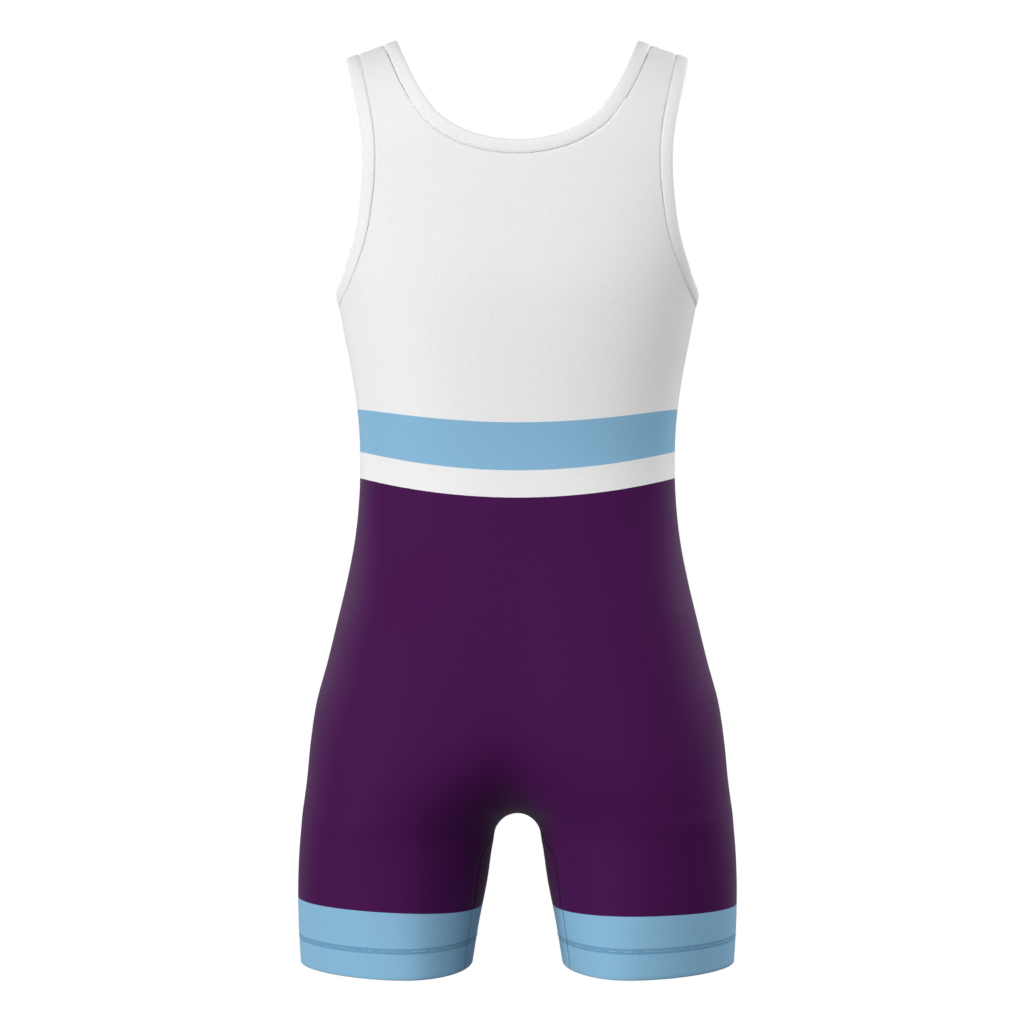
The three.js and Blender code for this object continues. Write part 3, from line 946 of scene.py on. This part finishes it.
            # Marks the columns beside the inseam for painted shade in the print.
            if rows[row].inseam and column < len(self.PAINTED_SEAM_SHADE):
                vert[layers["painted_seam_shade"]] = self.PAINTED_SEAM_SHADE[column]
        mirror_in(bm)
        bmesh.ops.recalc_face_normals(bm, faces=bm.faces)
        probe = max(bm.faces, key=lambda face: face.calc_center_median().y * self.side.value)
        turn_outwards(bm, probe, Vector((0, self.side.value, 0)))
        self._unwrap(bm, layers)
        piece = finish_mesh(self.name, bm)
        thicken(piece, CLOTH).material_offset = 1
        return piece

    def _unwrap(self, bm: Mesh, layers: dict[str, object]) -> None:
        """Lays the cloth out flat in one map, and its levels in another for the print."""
        cut = bm.loops.layers.uv.new("cut")
        printed = bm.loops.layers.uv.new("print")
        for face in bm.faces:
            hand = 1 if face.calc_center_median().x > 0 else -1
            for loop in face.loops:
                vert = loop.vert
                loop[cut].uv = (hand * vert[layers["around"]], vert[layers["run"]])
                lean = hand * vert[layers["lean"]]
                loop[printed].uv = (vert[layers["level"]], vert[layers["print"]] + lean)


def link(name: str, data: object) -> Piece:
    """Makes an object of its data and puts it in the scene."""
    piece = bpy.data.objects.new(name, data)
    bpy.context.scene.collection.objects.link(piece)
    return piece


def finish_mesh(name: str, bm: Mesh) -> Piece:
    """Turns a bmesh into a smooth-shaded object at the origin.

    Args:
        name: the object's name.
        bm: the mesh, which is freed.

    Returns:
        The new object, linked to the scene.
    """
    for face in bm.faces:
        face.smooth = True
    mesh = bpy.data.meshes.new(name)
    bm.to_mesh(mesh)
    bm.free()
    return link(name, mesh)


@dataclass
class Binding:
    """A strip of rib knit, folded over a free edge and sewn to the panels."""

    name: str
    edge: Edge
    hand: int = 1
    mirrored: bool = False
    split: int = 4

    def build(self) -> Piece:
        """Builds the binding as a folded sheet with a wall.

        Returns:
            The finished object.
        """
        stations = self.edge.stations(self.split)
        size, girth = len(BINDING_SECTION), self._girth()
        points = [[self._point(station, i) for i in range(size)] for station in stations]
        bm, layers, places = cloth_grid(len(stations) - 1, size - 1, ("along", "over"))
        for vert, column, row in places:
            vert.co = points[column][row] * MM
            vert[layers["along"]] = stations[column] * MM
            vert[layers["over"]] = girth[row] * MM
        self._unwrap(bm, layers)
        if self.mirrored:
            for vert in bm.verts:
                if abs(vert.co.x) < BINDING_SNAP * MM:
                    vert.co.x = 0.0
            mirror_in(bm)
        elif self.hand < 0:
            bmesh.ops.scale(bm, vec=(-1, 1, 1), verts=bm.verts)
        bmesh.ops.remove_doubles(bm, verts=bm.verts, dist=MERGE * MM)
        bmesh.ops.recalc_face_normals(bm, faces=bm.faces)
        self._face_outwards(bm)
        piece = finish_mesh(self.name, bm)
        thicken(piece, BINDING_CLOTH)
        return piece

    def _face_outwards(self, bm: Mesh) -> None:
        """Turns the strip so that its right side doesn't look into the fold."""
        spot = self.edge.inward(self.edge.length / 4, BINDING_WIDTH / 2)
        turn = Matrix.Diagonal((self.hand, 1.0, 1.0))
        place = turn @ BODY.lifted(spot, 0.5) * MM
        probe = min(bm.faces, key=lambda face: (face.calc_center_median() - place).length_squared)
        turn_outwards(bm, probe, turn @ BODY.normal(*spot))

    def _point(self, station: float, i: int) -> Vector:
        """A point of the section at a length along the edge."""
        across, out = BINDING_SECTION[i]
        return BODY.lifted(self.edge.inward(station, across), out)

    def _girth(self) -> list[float]:
        """Lengths round the section to each of its points."""
        lengths = [0.0]
        for (x0, y0), (x1, y1) in zip(BINDING_SECTION, BINDING_SECTION[1:]):
            lengths.append(lengths[-1] + math.hypot(x1 - x0, y1 - y0))
        return lengths

    def _unwrap(self, bm: Mesh, layers: dict[str, object]) -> None:
        """Lays the strip out flat: its length, and the way round its fold."""
        cut = bm.loops.layers.uv.new("cut")
        for face in bm.faces:
            for loop in face.loops:
                loop[cut].uv = (loop.vert[layers["along"]], loop.vert[layers["over"]])


@dataclass
class HemStitching:
    """The needle thread of the stitch that holds a hem up, showing as small floats.

    shown is the share of them that shows, wander how far they stray up and down, and the
    pairs are the limits of their lengths and of the steps between them.
    """

    name: str
    hand: int
    seed: int
    pitch: float = 1.9
    thread: float = 0.42
    length: float = 1.05
    shown: float = 0.72
    wander: float = 0.25
    lengths: tuple[float, float] = (0.6, 1.5)
    steps: tuple[float, float] = (0.7, 1.35)
    leg_radius: float = 82.0

    def build(self) -> Piece:
        """Lays short thread floats round the leg at the stitching level.

        Returns:
            The finished object.
        """
        chance = random.Random(self.seed)
        level = HEM_LEVEL - HEM_DEPTH
        bm = bmesh.new()
        angle = 0.0
        while angle < math.tau:
            if chance.random() < self.shown:
                stray = chance.uniform(-self.wander, self.wander)
                self._float(bm, angle, level + stray, chance.uniform(*self.lengths))
            angle += self.pitch * chance.uniform(*self.steps) / self.leg_radius
        bmesh.ops.recalc_face_normals(bm, faces=bm.faces)
        return finish_mesh(self.name, bm)

    def _float(self, bm: Mesh, angle: float, level: float, stretch: float) -> None:
        """Adds one float of thread, bedded in the cloth at both ends.

        Args:
            bm: the mesh it joins.
            angle: radians round the leg.
            level: millimetres below the ridge.
            stretch: its length against the usual one.
        """
        run = run_of_level(level)
        centre = BODY.point(angle, run)
        normal = BODY.normal(angle, run)
        near = 0.01
        ahead = (BODY.point(angle + near, run) - BODY.point(angle - near, run)).normalized()
        up = normal.cross(ahead).normalized()
        radius = self.thread * MM / 2
        made = bmesh.ops.create_uvsphere(bm, u_segments=6, v_segments=4, radius=radius)
        axes = Matrix((up, normal, ahead)).transposed().to_4x4()
        size = Matrix.Diagonal((1.0, 1.0, self.length * stretch / self.thread, 1.0))
        place = Matrix.Translation((centre + normal * (0.16 + self.thread * 0.35)) * MM)
        flip = Matrix.Diagonal((self.hand, 1.0, 1.0, 1.0))
        bmesh.ops.transform(bm, matrix=flip @ place @ axes @ size, verts=made["verts"])


@dataclass
class Studio:
    """The camera at the photograph's viewing angle, its white surround, floor and soft lights."""

    distance: float = 2.1
    height: float = -0.41125
    shift: float = 0.00175
    frame_width: float = 0.902
    sensor: float = 36.0
    floor_level: float = -1.45
    floor_radius: float = 1.2
    dim: float = 0.02

    def build(self) -> None:
        """Sets up everything that isn't the garment."""
        self._camera()
        self._world()
        self._floor()
        self._area("key_light", (4.8, 3.3, -0.5), 2.6, 248.0)
        self._area("front_light", (-0.2, 5.4, -0.3), 2.6, 132.0)
        self._area("top_light", (-1.5, 0.9, 3.0), 1.6, 54.0)
        self._area("fill_light", (-4.0, 0.3, 0.2), 2.0, 44.0)
        self._area("rim_light_left", (2.2, -2.0, 0.8), 1.0, 45.0)
        self._area("rim_light_right", (-2.2, -2.0, 0.8), 1.0, 48.0)
        bpy.context.scene.view_settings.view_transform = "Standard"

    def _camera(self) -> None:
        """Looks at the back, level with the garment's middle."""
        data = bpy.data.cameras.new("camera")
        data.sensor_fit = "HORIZONTAL"
        data.sensor_width = self.sensor
        data.lens = self.sensor * self.distance / self.frame_width
        camera = link("camera", data)
        camera.location = (self.shift, self.distance, self.height)
        camera.rotation_euler = (math.radians(90), 0, math.radians(180))
        bpy.context.scene.camera = camera

    def _world(self) -> None:
        """White behind the garment, and a dim grey all round that lights it."""
        world = bpy.data.worlds.new("studio")
        world.use_nodes = True
        tree = world.node_tree
        tree.nodes.clear()
        path = add(tree, "LightPath", {})
        dim = add(tree, "Background", {0: linear("#ffffff"), 1: self.dim})
        white = add(tree, "Background", {0: linear("#ffffff"), 1: 1.0})
        seen = path.outputs["Is Camera Ray"]
        mixed = add(tree, "MixShader", {0: seen, 1: dim.outputs[0], 2: white.outputs[0]})
        add(tree, "OutputWorld", {0: mixed.outputs[0]})
        bpy.context.scene.world = world

    def _floor(self) -> None:
        """A round floor in matt dark grey paint, which throws little light up at the garment."""
        bm = bmesh.new()
        bmesh.ops.create_circle(bm, cap_ends=True, segments=96, radius=self.floor_radius)
        bmesh.ops.translate(bm, verts=bm.verts, vec=(0, 0, self.floor_level))
        floor = finish_mesh("floor", bm)
        material, tree = new_material("matt_painted_floor")
        paint = {"Base Color": linear("#484848"), "Roughness": 0.9}
        shader = add(tree, "BsdfPrincipled", paint)
        add(tree, "OutputMaterial", {0: shader.outputs[0]})
        floor.data.materials.append(material)

    def _area(self, name: str, place: tuple[float, float, float], size: float, watts: float) -> None:
        """Adds a square soft light that faces the garment's middle.

        Args:
            name: the light's name.
            place: where it stands, in metres.
            size: width of its square.
            watts: its power.
        """
        data = bpy.data.lights.new(name, "AREA")
        data.shape = "SQUARE"
        data.size = size
        data.energy = watts
        light = link(name, data)
        light.location = place
        towards = Vector((0, 0, self.height)) - Vector(place)
        light.rotation_euler = towards.to_track_quat("-Z", "Y").to_euler()


@dataclass
class Singlet:
    """The whole garment: two panels, three bindings and the stitching on the hems."""

    wardrobe: Wardrobe

    def build(self) -> None:
        """Builds and dresses every piece."""
        thread = [self.wardrobe.thread]
        for name, hand, seed in (("left", 1, 11), ("right", -1, 12)):
            stitching = HemStitching(f"hem_stitching_{name}", hand, seed).build()
            self._dress(stitching, thread)
        cloth = [self.wardrobe.panel, self.wardrobe.lining]
        for name, side in (("back_panel", Side.BACK), ("front_panel", Side.FRONT)):
            panel = self._dress(Panel(f"{name}_cloth", side).build(), cloth, name)
        rib = [self.wardrobe.binding]
        neck = Binding("neck_binding_cloth", NECK, mirrored=True).build()
        self._dress(neck, rib, "neck_binding")
        for name, hand in (("left", 1), ("right", -1)):
            arm = Binding(f"arm_binding_{name}_cloth", ARM, hand=hand).build()
            self._dress(arm, rib, f"arm_binding_{name}")

    def _dress(
        self,
        piece: Piece,
        materials: Sequence[Material],
        node: str | None = None,
    ) -> Piece:
        """Gives a piece its materials and body, and hides the node it stands for.

        Args:
            piece: the finished object.
            materials: its materials, outside first.
            node: the node that it replaces, if any.

        Returns:
            The same object.
        """
        for material in materials:
            piece.data.materials.append(material)
        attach(piece, "root")
        if node:
            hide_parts(node)
        log.info("%s: %d faces", piece.name, len(piece.data.polygons))
        return piece


def main() -> None:
    """Builds the studio and the garment."""
    logging.basicConfig(level=logging.INFO, format="%(name)s: %(message)s")
    Studio().build()
    Singlet(Wardrobe()).build()


if __name__ == "__main__":
    main()
